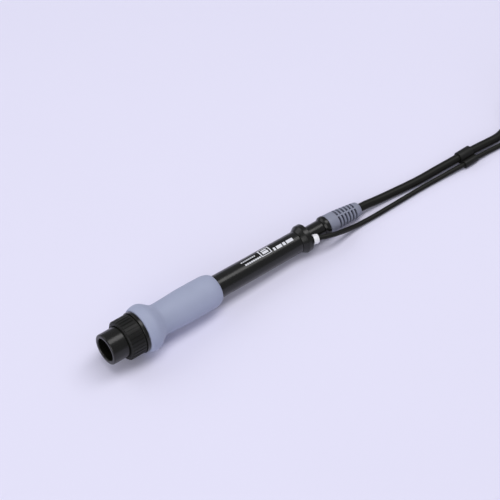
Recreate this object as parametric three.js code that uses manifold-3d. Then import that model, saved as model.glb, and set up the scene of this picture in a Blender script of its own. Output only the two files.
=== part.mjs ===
// Gas-assisted soldering handpiece with its cable and gas hose, millimetres, +Z up.
// The handle is drawn along its own axis (x = distance behind the nose face) and then laid down
// so that it rests on the grip's flare and on the rear flange. Cords are drawn on the floor, z = 0.
import * as THREE from 'three';
import { mergeVertices } from 'three/addons/utils/BufferGeometryUtils.js';
import Module from 'manifold-3d';

const wasm = await Module();
wasm.setup();

// ---- Driving dimensions ----
const GAP = 0.3;                 // clearance between pieces that touch
const SIDES = 28;                // facets round a turned piece

const NOSE_R = 9.2;              // nose tube, outside
const BORE_R = 6.8;              // nose bore, where the tip or nozzle goes in
const NOSE_EDGE = 0.9;           // rounding of the nose rim
const FLANGE_R = 10.4;           // nose flange that the lock ring pulls on
const FLANGE_LEN = 1.7;
const SPIGOT_R = 8.3;            // nose spigot inside the barrel
const SPIGOT_LEN = 9.8;
const SEAL_R = 0.42;             // section radius of the front seal

const RING_START = 10.3;         // lock ring, front face
const RING_LEN = 9.7;
const RING_R = 11.85;
const RING_LIP = 1.9;
const RING_CHAMFER = 1.0;
const FLUTES = 32;
const FLUTE_DEPTH = 0.5;

const THREAD_R = 10.5;           // barrel thread under the lock ring
const RIM_LEN = 1.8;             // smooth rim behind the lock ring
const RIM_R = 12.35;
const FLARE_SEAT_R = 10.3;       // barrel under the grip's flare
const GRIP_SEAT_R = 8.6;         // barrel under the grip's body
const BARREL_FRONT_R = 6.9;      // visible barrel, front and rear
const BARREL_REAR_R = 6.6;
const BARREL_END = 134.5;
const SOCKET_BORE_R = 6.9;       // barrel bore round the contact block
const BARREL_BORE_R = 5.4;

const FLARE_PEAK = 28.2;         // grip, along the handle
const FLARE_R = 14.03;
const GRIP_NECK = 38.7;
const GRIP_R = 10.1;
const GRIP_END = 75.5;

const BLOCK_START = 46;          // contact block
const BLOCK_LEN = 15.7;
const SOCKET_R = 3.3;
const SOCKET_LEN = 12.5;
const CONTACT_COUNT = 3;
const CONTACT_PITCH = 3.5;
const CONTACT_W = 1.6;
const CONTACT_R = 4.4;

const BOARD_LEN = 27.7;
const BOARD_W = 9;
const BOARD_T = 1;
const GAS_TUBE_R = 1.2;
const GAS_OFFSET = 3.9;          // gas tube's distance from the handle's axis
const LEAD_R = 0.6;

const CAP_FLANGE_R = 8.5;        // rear flange
const CAP_CONE_LEN = 2.8;
const CAP_RIM_LEN = 3.2;
const NECK_R = 5.2;
const NECK_LEN = 11.8;
const CAP_SPIGOT_LEN = 10.8;

const FITTING_ROLL = 66;         // degrees from the top towards -Y
const FITTING_OFFSET = 6.3;      // its distance from the axis at the flange's rear face
const FITTING_SPLAY = 15;        // degrees that it leans outwards
const FITTING_R = 2.2;
const RELEASE_R = 2.9;
const RELEASE_LEN = 3.3;
const RELEASE_TRAVEL = 0.5;

const BUSHING_R = 6.25;
const BUSHING_LEN = 3.4;
const RELIEF_LEN = 24.8;
const RELIEF_FRONT_R = 5.95;
const RELIEF_REAR_R = 4.5;
const RELIEF_COLLAR = 6.65;      // plain length before the first slot
const SLOT_COUNT = 6;
const SLOT_PITCH = 2.53;
const SLOT_W = 1.25;
const SPINE_W = 1.6;
const SPINE_ROLL = 19;           // degrees from the top towards -Y
const RELIEF_DROOP = 1.36;       // how far its free end hangs

const CABLE_R = 2.6;
const HOSE_R = 1.5;
const CLIP_LEN = 9.5;

// The tied hank: both cords go round two ends, cable outside, hose inside.
const HANK_X = 333;              // centre of its near end, behind the nose face
const HANK_Y = -5.4;
const HANK_RUN = 65;
const HANK_LIFT = 0.9;           // the ties hold it this far off the floor
const HANK_R = 15.8;             // cable's bend at the ends
const CABLE_LAYERS = 5;
const HOSE_LAYERS = 5;
const TIE_W = 8;
const TIE_T = 0.6;

const PLUG_R = 8.6;
const PLUG_RING_R = 9.5;
const PLUG_Y = 4;
const PLUG_START = 446;          // where the cable goes into the plug's boot
const PIN_COUNT = 6;

// ---- Derived places along the handle ----
const ringEnd = RING_START + RING_LEN;
const lipEnd = RING_START + RING_LIP;
const noseFlange = lipEnd + GAP;
const noseShoulder = noseFlange + FLANGE_LEN;
const spigotEnd = noseShoulder + SPIGOT_LEN;
const barrelStart = noseShoulder + GAP;
const rimStart = ringEnd + GAP;
const rimEnd = rimStart + RIM_LEN;
const gripStart = rimEnd + GAP;
const blockEnd = BLOCK_START + BLOCK_LEN;
const boardStart = blockEnd + 2.6;
const boardEnd = boardStart + BOARD_LEN;
const capStart = BARREL_END + GAP;
const spigotStart = capStart - CAP_SPIGOT_LEN;
const capFace = capStart + CAP_CONE_LEN + CAP_RIM_LEN;
const neckEnd = capFace + NECK_LEN;
const jacketEnd = capFace - 1.8;
const bushingStart = neckEnd + GAP;
const bushingEnd = bushingStart + BUSHING_LEN;
const reliefStart = bushingEnd + GAP;
const reliefEnd = reliefStart + RELIEF_LEN;
const cordBoreR = CABLE_R + 0.35;
const rad = THREE.MathUtils.degToRad;

// The floor line touches the flare's peak and the rear corner of the flange.
const tilt = Math.atan((FLARE_R - CAP_FLANGE_R) / (capFace - FLARE_PEAK));
const noseHeight = FLARE_PEAK * Math.sin(tilt) + FLARE_R * Math.cos(tilt);

// ---- Geometry helpers ----
function weld(source) {
  const bare = source.index ? source.toNonIndexed() : source.clone();
  for (const name of Object.keys(bare.attributes)) {
    if (name !== 'position') bare.deleteAttribute(name);
  }
  const merged = mergeVertices(bare, 1e-5);
  const p = merged.attributes.position;
  const kept = [];
  let volume = 0;
  const [a, b, c] = [new THREE.Vector3(), new THREE.Vector3(), new THREE.Vector3()];
  for (let i = 0; i < merged.index.count; i += 3) {
    const t = [0, 1, 2].map((k) => merged.index.getX(i + k));
    if (t[0] === t[1] || t[1] === t[2] || t[2] === t[0]) continue;
    kept.push(...t);
    volume += a.fromBufferAttribute(p, t[0]).dot(
      b.fromBufferAttribute(p, t[1]).cross(c.fromBufferAttribute(p, t[2])));
  }
  if (volume < 0) kept.reverse();
  merged.setIndex(kept);
  return merged;
}

function toManifold(geometry) {
  const g = weld(geometry);
  return new wasm.Manifold(new wasm.Mesh({
    numProp: 3,
    vertProperties: new Float32Array(g.attributes.position.array),
    triVerts: new Uint32Array(g.index.array),
  }));
}

function toGeometry(manifold) {
  const m = manifold.getMesh();
  const g = new THREE.BufferGeometry();
  g.setAttribute('position', new THREE.BufferAttribute(new Float32Array(m.vertProperties), 3));
  g.setIndex(Array.from(m.triVerts));
  return g;
}

function cut(body, ...tools) {
  return toGeometry(tools.reduce((left, tool) => left.subtract(toManifold(tool)), toManifold(body)));
}

function join(first, ...others) {
  return toGeometry(others.reduce((sum, other) => sum.add(toManifold(other)), toManifold(first)));
}

function common(first, second) {
  return toGeometry(toManifold(first).intersect(toManifold(second)));
}

// A closed [x, radius] outline turned about the X axis.
function turned(profile, sides = SIDES) {
  const points = profile.map(([x, r]) => new THREE.Vector2(r, x));
  const first = profile[0];
  const last = profile[profile.length - 1];
  if (first[1] > 0 || last[1] > 0) points.push(points[0].clone());
  return weld(new THREE.LatheGeometry(points, sides).rotateZ(-Math.PI / 2));
}

// A flat shape with an optional hole, both running anticlockwise as the extruder wants them.
function flat(outline, hole) {
  const run = (pairs) => {
    const points = pairs.map(([a, b]) => new THREE.Vector2(a, b));
    return THREE.ShapeUtils.isClockWise(points) ? points.reverse() : points;
  };
  const shape = new THREE.Shape(run(outline));
  if (hole) shape.holes.push(new THREE.Path(run(hole)));
  return shape;
}

// A [y, z] outline pushed along X from x0 to x1.
function prism(outline, x0, x1, hole) {
  const shape = flat(outline, hole);
  const g = new THREE.ExtrudeGeometry(shape, { depth: x1 - x0, bevelEnabled: false });
  const axes = new THREE.Matrix4().makeBasis(
    new THREE.Vector3(0, 1, 0), new THREE.Vector3(0, 0, 1), new THREE.Vector3(1, 0, 0));
  return weld(g.applyMatrix4(axes).translate(x0, 0, 0));
}

function block(x0, x1, y0, y1, z0, z1) {
  return new THREE.BoxGeometry(x1 - x0, y1 - y0, z1 - z0)
    .translate((x0 + x1) / 2, (y0 + y1) / 2, (z0 + z1) / 2);
}

function rod(x0, x1, r, y = 0, z = 0, sides = 16) {
  return new THREE.CylinderGeometry(r, r, x1 - x0, sides)
    .rotateZ(-Math.PI / 2).translate((x0 + x1) / 2, y, z);
}

function circle(r, sides, y = 0, z = 0) {
  return Array.from({ length: sides }, (_, i) => {
    const a = (2 * Math.PI * i) / sides;
    return [y + r * Math.cos(a), z + r * Math.sin(a)];
  });
}

// A round section swept along a smooth curve through the points.
function tube(points, r, steps, sides) {
  const path = new THREE.CatmullRomCurve3(points.map((p) => new THREE.Vector3(...p)));
  const section = new THREE.Shape(circle(r, sides).map(([a, b]) => new THREE.Vector2(a, b)));
  return weld(new THREE.ExtrudeGeometry(section, { steps, extrudePath: path, bevelEnabled: false }));
}

// Quarter-round corner points from [x0, r0] to [x1, r1], bulging at the corner [cx, cr].
function rounded([x0, r0], [x1, r1], [cx, cr], steps = 4) {
  return Array.from({ length: steps + 1 }, (_, i) => {
    const a = (Math.PI / 2) * (i / steps);
    const [p, q] = [1 - Math.sin(a), 1 - Math.cos(a)];
    return [cx + p * (x0 - cx) + q * (x1 - cx), cr + p * (r0 - cr) + q * (r1 - cr)];
  });
}

// ---- Front end ----
function noseSleeve() {
  const groove = [17.0, 18.5];
  const grooveR = SPIGOT_R - 0.7;
  return turned([
    [0, BORE_R + 0.3],
    ...rounded([0, NOSE_R - NOSE_EDGE], [NOSE_EDGE, NOSE_R], [0, NOSE_R], 3),
    [noseFlange, NOSE_R],
    [noseFlange, FLANGE_R],
    [noseShoulder, FLANGE_R],
    [noseShoulder, SPIGOT_R],
    [groove[0], SPIGOT_R],
    [groove[0], grooveR],
    [groove[1], grooveR],
    [groove[1], SPIGOT_R],
    [spigotEnd, SPIGOT_R],
    [spigotEnd, BORE_R],
    [0.3, BORE_R],
  ]);
}

function frontSeal() {
  const centre = [17.75, SPIGOT_R - 0.25];
  return turned(circle(SEAL_R, 6).map(([a, b]) => [centre[0] + a, centre[1] + b]));
}

function lockRing() {
  const outline = [];
  for (let i = 0; i < FLUTES; i += 1) {
    for (const [share, r] of [[-0.3, RING_R], [0.22, RING_R], [0.36, RING_R - FLUTE_DEPTH],
      [0.56, RING_R - FLUTE_DEPTH]]) {
      const a = (2 * Math.PI * (i + share)) / FLUTES;
      outline.push([r * Math.cos(a), r * Math.sin(a)]);
    }
  }
  const shell = turned([
    [RING_START, NOSE_R + GAP],
    [RING_START, RING_R - RING_CHAMFER],
    [RING_START + RING_CHAMFER, RING_R + 0.1],
    [ringEnd, RING_R + 0.1],
    [ringEnd, THREAD_R + GAP],
    [lipEnd, THREAD_R + GAP],
    [lipEnd, NOSE_R + GAP],
  ]);
  return common(prism(outline, RING_START - 1, ringEnd + 1), shell);
}

// ---- Handle ----
function barrel() {
  const seatEnd = GRIP_NECK - 2.7;
  return turned([
    [barrelStart, SPIGOT_R + 0.35],
    [barrelStart, THREAD_R],
    [rimStart, THREAD_R],
    [rimStart, RIM_R - 0.35],
    [rimStart + 0.35, RIM_R],
    [rimEnd, RIM_R],
    [rimEnd, FLARE_SEAT_R],
    [seatEnd, FLARE_SEAT_R],
    [seatEnd + 1, GRIP_SEAT_R],
    [GRIP_END - 4, GRIP_SEAT_R],
    [GRIP_END - 4, BARREL_FRONT_R],
    [BARREL_END, BARREL_REAR_R],
    [BARREL_END, BARREL_BORE_R],
    [blockEnd + GAP, BARREL_BORE_R],
    [blockEnd + GAP, SOCKET_BORE_R],
    [spigotEnd + GAP, SOCKET_BORE_R],
    [spigotEnd + GAP, SPIGOT_R + 0.35],
  ]);
}

function gripSleeve() {
  const seatEnd = GRIP_NECK - 2.7 + GAP;
  const flareLen = GRIP_NECK - FLARE_PEAK;
  const flare = [];
  for (let i = 0; i <= 8; i += 1) {
    const wave = (1 + Math.cos((Math.PI * i) / 8)) / 2;
    flare.push([FLARE_PEAK + (flareLen * i) / 8, GRIP_R + (FLARE_R - GRIP_R) * wave]);
  }
  return turned([
    [gripStart, FLARE_SEAT_R + GAP],
    ...rounded([gripStart, RIM_R], [FLARE_PEAK, FLARE_R], [gripStart, FLARE_R], 4).slice(0, -1),
    ...flare,
    ...rounded([GRIP_END - 7, GRIP_R - 0.1], [GRIP_END, BARREL_FRONT_R + 0.5],
      [GRIP_END, GRIP_R - 0.1], 5),
    [GRIP_END, BARREL_FRONT_R + GAP],
    [GRIP_END - 4 + GAP, BARREL_FRONT_R + GAP],
    [GRIP_END - 4 + GAP, GRIP_SEAT_R + GAP],
    [seatEnd + 1, GRIP_SEAT_R + GAP],
    [seatEnd, FLARE_SEAT_R + GAP],
  ]);
}

// ---- Inside the handle (local +Z points to the gas fitting's side) ----
const contactX = (i) => BLOCK_START + 3.6 + i * CONTACT_PITCH;
const contactRoll = [0, 180, 270];
const tailR = [CONTACT_R + 0.35, CONTACT_R + 0.75];

function contactBlock() {
  const body = turned([
    [BLOCK_START, SOCKET_R],
    [BLOCK_START, SOCKET_BORE_R - GAP],
    [blockEnd, SOCKET_BORE_R - GAP],
    [blockEnd, 0],
    [BLOCK_START + SOCKET_LEN, 0],
    [BLOCK_START + SOCKET_LEN, SOCKET_R],
  ]);
  const tools = [];
  for (let i = 0; i < CONTACT_COUNT; i += 1) {
    const half = CONTACT_W / 2 + GAP;
    tools.push(rod(contactX(i) - half, contactX(i) + half, CONTACT_R + GAP, 0, 0, SIDES));
    const slot = block(contactX(i) - half, blockEnd + 1, CONTACT_R - 0.2, tailR[1] + GAP, -0.8, 0.8);
    tools.push(slot.rotateX(rad(contactRoll[i])));
  }
  tools.push(rod(BLOCK_START + SOCKET_LEN - 0.5, blockEnd + 1, GAS_TUBE_R + GAP, 0, GAS_OFFSET));
  return cut(body, ...tools);
}

function contact(i) {
  const half = CONTACT_W / 2;
  const opening = rad(20);
  const steps = 14;
  const arc = (r, from, to) => Array.from({ length: steps + 1 }, (_, k) => {
    const a = from + ((to - from) * k) / steps;
    return [r * Math.cos(a), r * Math.sin(a)];
  });
  const [from, to] = [opening - Math.PI, Math.PI - opening];
  const inner = SOCKET_R + 0.1;
  const band = prism([...arc(CONTACT_R, from, to), ...arc(inner, to, from)],
    contactX(i) - half, contactX(i) + half);
  const tab = block(contactX(i) - half, contactX(i) + half, CONTACT_R - 0.3, tailR[1], -0.5, 0.5);
  const tail = block(contactX(i), blockEnd + 2.2, ...tailR, -0.5, 0.5);
  return join(band, tab, tail).rotateX(rad(contactRoll[i]));
}

const terminalBoard = () => block(boardStart, boardEnd, -BOARD_W / 2, BOARD_W / 2, -1.2, BOARD_T - 1.2);

const sleepSensor = () => rod(boardStart + 10, boardStart + 17, 1.6, 0, -3.1);

function lead(i) {
  const a = rad(90 + 120 * i);
  const across = [0, -2.4, 2.4][i];
  const [y, z] = [1.3 * Math.cos(a), 1.3 * Math.sin(a)];
  const bend = spigotStart - 4;
  return tube([
    [boardEnd + GAP, across, -0.7],
    [boardEnd + 6, across, -0.7],
    [bend - 8, (across + y) / 2, (z - 0.7) / 2],
    [bend, y, z],
    [spigotStart + 4, y, z],
    [jacketEnd - GAP, y, z],
  ], LEAD_R, 14, 6);
}

const gasTube = () => turned([
  [blockEnd - 1.3, GAS_TUBE_R - 0.5],
  [blockEnd - 1.3, GAS_TUBE_R],
  [spigotStart - GAP, GAS_TUBE_R],
  [spigotStart - GAP, GAS_TUBE_R - 0.5],
], 12).translate(0, 0, GAS_OFFSET);

// ---- Rear end ----
// Places something drawn along +X onto the gas fitting's own leaning axis.
function onFitting(geometry) {
  const roll = rad(FITTING_ROLL);
  return geometry.rotateZ(-rad(FITTING_SPLAY)).translate(
    capFace + 0.2, -FITTING_OFFSET * Math.sin(roll), FITTING_OFFSET * Math.cos(roll));
}

function endCap() {
  const coneEnd = capStart + CAP_CONE_LEN;
  const body = turned([
    [spigotStart, 2.6],
    [spigotStart, BARREL_BORE_R - GAP],
    [capStart, BARREL_BORE_R - GAP],
    [capStart, BARREL_REAR_R],
    [coneEnd - 0.2, CAP_FLANGE_R - 0.25],
    [coneEnd + 0.2, CAP_FLANGE_R],
    [capFace, CAP_FLANGE_R],
    [capFace, NECK_R],
    [neckEnd, NECK_R],
    [neckEnd, cordBoreR],
    [jacketEnd - GAP, cordBoreR],
    [jacketEnd - GAP, 2.6],
  ]);
  const passage = rod(spigotStart - 1, capFace - 2.4, 0.8, 0, GAS_OFFSET, 12)
    .rotateX(rad(FITTING_ROLL));
  const pocket = onFitting(rod(-3.4, 1, FITTING_R + GAP, 0, 0, 20));
  const seat = onFitting(rod(0, RELEASE_LEN + 1.6, RELEASE_R + GAP, 0, 0, 24));
  return cut(body, passage, pocket, seat);
}

const hoseFitting = () => onFitting(turned([
  [-3.1, 1.0],
  [-3.1, FITTING_R],
  [0.5, FITTING_R],
  [0.5, HOSE_R + 0.25],
  [-1.8, HOSE_R + 0.25],
  [-1.8, 1.0],
], 20));

const releaseStart = 0.3 + RELEASE_TRAVEL;
const releaseRing = () => onFitting(turned([
  [releaseStart, FITTING_R + GAP],
  [releaseStart, RELEASE_R],
  [releaseStart + RELEASE_LEN - 0.4, RELEASE_R],
  [releaseStart + RELEASE_LEN, RELEASE_R - 0.4],
  [releaseStart + RELEASE_LEN, HOSE_R + GAP],
  [releaseStart + 0.9, HOSE_R + GAP],
  [releaseStart + 0.9, FITTING_R + GAP],
], 24));

const cordBushing = () => turned([
  [bushingStart, cordBoreR],
  [bushingStart, NECK_R - 0.2],
  ...rounded([bushingStart + 0.2, NECK_R - 0.1], [bushingStart + 1.5, BUSHING_R],
    [bushingStart + 0.2, BUSHING_R], 3),
  [bushingEnd, BUSHING_R],
  [bushingEnd, cordBoreR],
]);

// How far the bent strain relief hangs below the straight axis at x.
function droop(x) {
  const share = Math.min(Math.max((x - reliefStart) / RELIEF_LEN, 0), 1);
  return RELIEF_DROOP * share * share;
}

function strainRelief() {
  const sides = 20;
  const body = turned([
    [reliefStart, cordBoreR],
    [reliefStart, RELIEF_FRONT_R],
    [reliefStart + RELIEF_COLLAR, RELIEF_FRONT_R - 0.15],
    [reliefEnd - 1.4, RELIEF_REAR_R],
    ...rounded([reliefEnd - 1.4, RELIEF_REAR_R], [reliefEnd, CABLE_R + 1],
      [reliefEnd, RELIEF_REAR_R], 3).slice(1),
    [reliefEnd, cordBoreR],
  ], sides);
  const spines = prism([[-SPINE_W / 2, -8], [SPINE_W / 2, -8], [SPINE_W / 2, 8], [-SPINE_W / 2, 8]],
    reliefStart, reliefEnd).rotateX(rad(SPINE_ROLL));
  const slots = [];
  for (let i = 0; i < SLOT_COUNT; i += 1) {
    const x = reliefStart + RELIEF_COLLAR + i * SLOT_PITCH;
    slots.push(cut(rod(x, x + SLOT_W, 8, 0, 0, sides), spines));
  }
  const bent = cut(body, ...slots);
  const p = bent.attributes.position;
  for (let i = 0; i < p.count; i += 1) p.setZ(i, p.getZ(i) - droop(p.getX(i)));
  return bent;
}

// ---- Cords: points in the room, x behind the nose face, z above the floor ----
function axisPoint(x, y = 0, z = 0) {
  return [x * Math.cos(tilt) + z * Math.sin(tilt), y,
    noseHeight - x * Math.sin(tilt) + z * Math.cos(tilt)];
}

const cableStart = [jacketEnd, 146, 152, 158, 164, 170, 176, 181].map(
  (x) => axisPoint(x, 0, -droop(x)));
const CABLE_ROUTE = [
  [187.5, 0, 4.3], [194, -0.3, 3.3], [201, -0.9, 2.8], [209, -1.7, 2.65], [218, -2.7, 2.6],
  [228, -3.5, 2.6], [238, -3.9, 2.8], [248, -4.6, 3.3], [256, -5.1, 3.6], [264, -5.5, 3.6],
  [273, -5.9, 3.2], [280, -6.3, 2.8], [287, -6.52, 2.74], [294, -4.98, 2.86], [301, -1.83, 2.98],
  [308, 2.2, 3.11], [315, 6.15, 3.23],
];
const HOSE_ROUTE = [
  [149.8, -8.5, 10.5], [152.6, -9.15, 10.1], [155.4, -9.5, 9.4], [158.2, -9.5, 8.4],
  [161.3, -9.2, 7.1], [164.6, -8.8, 5.7], [167.8, -8.4, 4.4], [171, -8.1, 3.3], [174.4, -7.9, 2.4],
  [178.5, -7.8, 1.8], [184, -8, 1.58], [191, -8.2, 1.58], [200, -8.3, 1.58], [210, -8.4, 1.58],
  [220, -8.5, 1.58], [230, -8.8, 1.58], [240, -9.4, 1.8], [248, -10, 2.2], [256, -10.6, 2.4],
  [264, -10.9, 2.4], [273, -11.2, 2], [281, -11.6, 1.6], [288, -12, 1.58], [294, -11.25, 1.64],
  [300, -9.14, 1.78], [306, -6.01, 1.92], [311, -3, 2.04], [316, 0.01, 2.16], [320.5, 2.44, 2.26],
];
const CABLE_TAIL = [
  [411, 10.4, 24.3], [416, 10.03, 23.46], [421, 9.02, 21.13], [426, 7.59, 17.84], [431, 6.07, 14.34],
  [436, 4.8, 11.45], [441, 4.09, 9.7], [445.5, 4, 9.5],
];
const HOSE_TAIL = [
  [388, -13.4, 13.4], [382, -12.7, 12.3], [376, -11, 10.4], [370, -8.8, 8.2], [363.5, -6.7, 6.1],
  [357, -5.6, 4.7], [352.5, -5.4, 4.1], [349.6, -5.4, 4],
];

function splayed(distance) {
  const [roll, splay] = [rad(FITTING_ROLL), rad(FITTING_SPLAY)];
  return axisPoint(capFace + 0.2 + distance * Math.cos(splay),
    -FITTING_OFFSET * Math.sin(roll) - distance * Math.sin(splay), FITTING_OFFSET * Math.cos(roll));
}

const cable = () => tube([...cableStart, ...CABLE_ROUTE], CABLE_R, 34, 10);
const hose = () => tube([splayed(-1.4), splayed(1.5), splayed(4.5), ...HOSE_ROUTE], HOSE_R, 50, 8);
const cableTail = () => tube(CABLE_TAIL, CABLE_R, 8, 10);
const hoseTail = () => tube(HOSE_TAIL, HOSE_R, 12, 8);

// A closed outline with round ends, standing on edge in plan: [x, y] round both hank ends.
function stadium(r, steps = 12) {
  const end = (x, from) => Array.from({ length: steps + 1 }, (_, i) => {
    const a = from - (Math.PI * i) / steps;
    return [x + r * Math.cos(a), HANK_Y + r * Math.sin(a)];
  });
  return [...end(HANK_X + HANK_RUN, Math.PI / 2), ...end(HANK_X, -Math.PI / 2)];
}

function hankRing(outer, inner, height) {
  const shape = flat(stadium(outer), stadium(inner));
  const g = new THREE.ExtrudeGeometry(shape, { depth: height, bevelEnabled: false });
  return weld(g.translate(0, 0, HANK_LIFT));
}

const hoseBend = HANK_R - CABLE_R - HOSE_R - GAP;

function cableHank() {
  const ring = hankRing(HANK_R + CABLE_R, HANK_R - CABLE_R, CABLE_LAYERS * 2 * CABLE_R);
  const tunnel = block(HANK_X - HANK_R - CABLE_R - 1, HANK_X, HANK_Y + 2.8,
    HANK_Y + HANK_R - CABLE_R - 0.01, 0, HANK_LIFT + 2 * HOSE_R + 0.8);
  return cut(ring, tunnel);
}

const hoseHank = () => hankRing(hoseBend + HOSE_R, hoseBend - HOSE_R, HOSE_LAYERS * 2 * HOSE_R);

function tie(side) {
  const near = hoseBend - HOSE_R - GAP;
  const far = HANK_R + CABLE_R + GAP;
  const top = HANK_LIFT + CABLE_LAYERS * 2 * CABLE_R + GAP;
  const frame = (grow) => [[near - grow, TIE_T - grow], [far + grow, TIE_T - grow],
    [far + grow, top + grow], [near - grow, top + grow]].map(([y, z]) => [HANK_Y + side * y, z]);
  const x = HANK_X + HANK_RUN / 2 - TIE_W / 2;
  return prism(frame(TIE_T), x, x + TIE_W, frame(0));
}

function cordClip() {
  const [cable, hoseAt] = [[-5.3, 3.6], [-10.75, 2.4]];
  const loop = (r, [y, z]) => rod(255.5, 255.5 + CLIP_LEN, r, y, z, 20);
  const outside = join(loop(CABLE_R + 1, cable), loop(HOSE_R + 0.9, hoseAt));
  const bore = (r, [y, z]) => rod(254, 267, r, y, z, 20);
  return cut(outside, bore(CABLE_R + GAP + 0.15, cable), bore(HOSE_R + GAP + 0.15, hoseAt));
}

// ---- Plug and hose connector ----
const plugBootLen = 16;
const plugBodyX = PLUG_START + plugBootLen + GAP;
const plugEnd = plugBodyX + 23;
const atPlug = (geometry) => geometry.translate(0, PLUG_Y, PLUG_RING_R);

const plugBoot = () => atPlug(turned([
  [PLUG_START, CABLE_R + 0.9],
  [PLUG_START + 3, CABLE_R + 1.2],
  [PLUG_START + 10, 5.2],
  [PLUG_START + plugBootLen, 6.4],
  [PLUG_START + plugBootLen, 0],
  [PLUG_START, 0],
].reverse(), 24));

const plugBody = () => atPlug(turned([
  [plugBodyX, 0],
  [plugBodyX, 7.2],
  [plugBodyX + 1, PLUG_R],
  [plugBodyX + 7.5, PLUG_R],
  [plugBodyX + 7.5, 7.6],
  [plugEnd, 7.6],
  [plugEnd, 6.9],
  [plugBodyX + 12, 6.9],
  [plugBodyX + 12, 0],
], 32));

const plugCoupling = () => atPlug(turned([
  [plugBodyX + 7.8, 7.6 + GAP],
  [plugBodyX + 7.8, PLUG_RING_R - 0.5],
  [plugBodyX + 8.3, PLUG_RING_R],
  [plugEnd - 3.5, PLUG_RING_R],
  [plugEnd - 3, PLUG_RING_R - 0.5],
  [plugEnd - 3, 7.6 + GAP],
], 32));

const pinPlace = (i) => {
  const a = (2 * Math.PI * i) / PIN_COUNT;
  return [4.2 * Math.cos(a), 4.2 * Math.sin(a)];
};

function plugInsert() {
  const disc = turned([
    [plugBodyX + 12.3, 0],
    [plugBodyX + 12.3, 6.6],
    [plugBodyX + 16.3, 6.6],
    [plugBodyX + 16.3, 0],
  ], 32);
  const holes = Array.from({ length: PIN_COUNT }, (_, i) => rod(
    plugBodyX + 13.3, plugBodyX + 17, 0.75 + GAP, ...pinPlace(i), 12));
  return atPlug(cut(disc, ...holes));
}

const plugPin = (i) => atPlug(turned([
  [plugBodyX + 13.6, 0],
  [plugBodyX + 13.6, 0.75],
  [plugEnd - 2, 0.75],
  [plugEnd - 1.5, 0.4],
  [plugEnd - 1.5, 0],
], 10).translate(0, ...pinPlace(i)));

const connectorX = 349.3;
const atConnector = (geometry) => geometry.rotateZ(Math.PI).translate(connectorX, HANK_Y, 4);

const hoseFerrule = () => atConnector(turned([
  [0, 0],
  [0, 2.4],
  [0.5, 2.6],
  [7.5, 2.6],
  [7.5, 0],
], 20));

function hoseConnector() {
  const hex = prism(circle(4, 6), 7.8, 12.8);
  const nipple = turned([[12, 1.2], [12, 2.5], [18.4, 2.5], [18.8, 2.2], [18.8, 1.2]], 20);
  const bore = rod(9, 20, 1.2);
  return atConnector(cut(join(hex, nipple), bore));
}

// ---- Assembly ----
const finish = (color, roughness, metalness = 0) => new THREE.MeshStandardMaterial(
  { color, roughness, metalness });
const blackGloss = finish(0x1a1b16, 0.3);
const blackMatte = finish(0x1d1d1b, 0.55);
const greyRubber = finish(0x8a8fa6, 0.75);
const whitePlastic = finish(0xf1f1f4, 0.4);
const insulator = finish(0xd9d2bd, 0.6);
const boardGreen = finish(0x1e5a3a, 0.5);
const brass = finish(0xc9a24a, 0.35, 1);
const steel = finish(0xbfc3c8, 0.3, 1);
const redWire = finish(0xa82a22, 0.5);
const blackRubber = finish(0x171716, 0.6);

const group = new THREE.Group();
const handle = new THREE.Group();
const inside = new THREE.Group();
const cords = new THREE.Group();
group.add(handle, cords);
handle.add(inside);

function add(parent, name, geometry, material) {
  const mesh = new THREE.Mesh(geometry, material.clone());
  mesh.name = name;
  parent.add(mesh);
}

add(handle, 'nose_sleeve', noseSleeve(), blackGloss);
add(handle, 'front_seal', frontSeal(), blackRubber);
add(handle, 'lock_ring', lockRing(), blackMatte);
add(handle, 'barrel', barrel(), blackGloss);
add(handle, 'grip_sleeve', gripSleeve(), greyRubber);
add(handle, 'end_cap', endCap(), blackGloss);
add(handle, 'hose_fitting', hoseFitting(), blackMatte);
add(handle, 'release_ring', releaseRing(), whitePlastic);
add(handle, 'cord_bushing', cordBushing(), blackGloss);
add(handle, 'strain_relief', strainRelief(), greyRubber);

add(inside, 'contact_block', contactBlock(), insulator);
for (let i = 0; i < CONTACT_COUNT; i += 1) add(inside, `contact_${i + 1}`, contact(i), brass);
add(inside, 'terminal_board', terminalBoard(), boardGreen);
add(inside, 'sleep_sensor', sleepSensor(), steel);
for (let i = 0; i < 3; i += 1) add(inside, `lead_${i + 1}`, lead(i), redWire);
add(inside, 'gas_tube', gasTube(), insulator);

add(cords, 'cable', cable(), blackRubber);
add(cords, 'hose', hose(), blackRubber);
add(cords, 'cord_clip', cordClip(), blackMatte);
add(cords, 'cable_hank', cableHank(), blackRubber);
add(cords, 'hose_hank', hoseHank(), blackRubber);
add(cords, 'hank_tie_1', tie(1), blackMatte);
add(cords, 'hank_tie_2', tie(-1), blackMatte);
add(cords, 'cable_tail', cableTail(), blackRubber);
add(cords, 'hose_tail', hoseTail(), blackRubber);
add(cords, 'plug_boot', plugBoot(), blackRubber);
add(cords, 'plug_body', plugBody(), steel);
add(cords, 'plug_coupling', plugCoupling(), steel);
add(cords, 'plug_insert', plugInsert(), insulator);
for (let i = 0; i < PIN_COUNT; i += 1) add(cords, `plug_pin_${i + 1}`, plugPin(i), brass);
add(cords, 'hose_ferrule', hoseFerrule(), steel);
add(cords, 'hose_connector', hoseConnector(), brass);

inside.rotation.x = rad(FITTING_ROLL);
handle.rotation.y = tilt;
handle.position.z = noseHeight;

// The origin is the middle of the handle's own box, on the floor.
group.updateMatrixWorld(true);
const own = new THREE.Box3().setFromObject(handle, true);
handle.position.z -= own.min.z;
group.position.x = -(own.min.x + own.max.x) / 2;

export default group;
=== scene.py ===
"""Looks of a gas-assisted soldering handpiece with its cable and gas hose."""

import math

import bmesh
import bpy
from mathutils import Matrix, Vector


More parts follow.
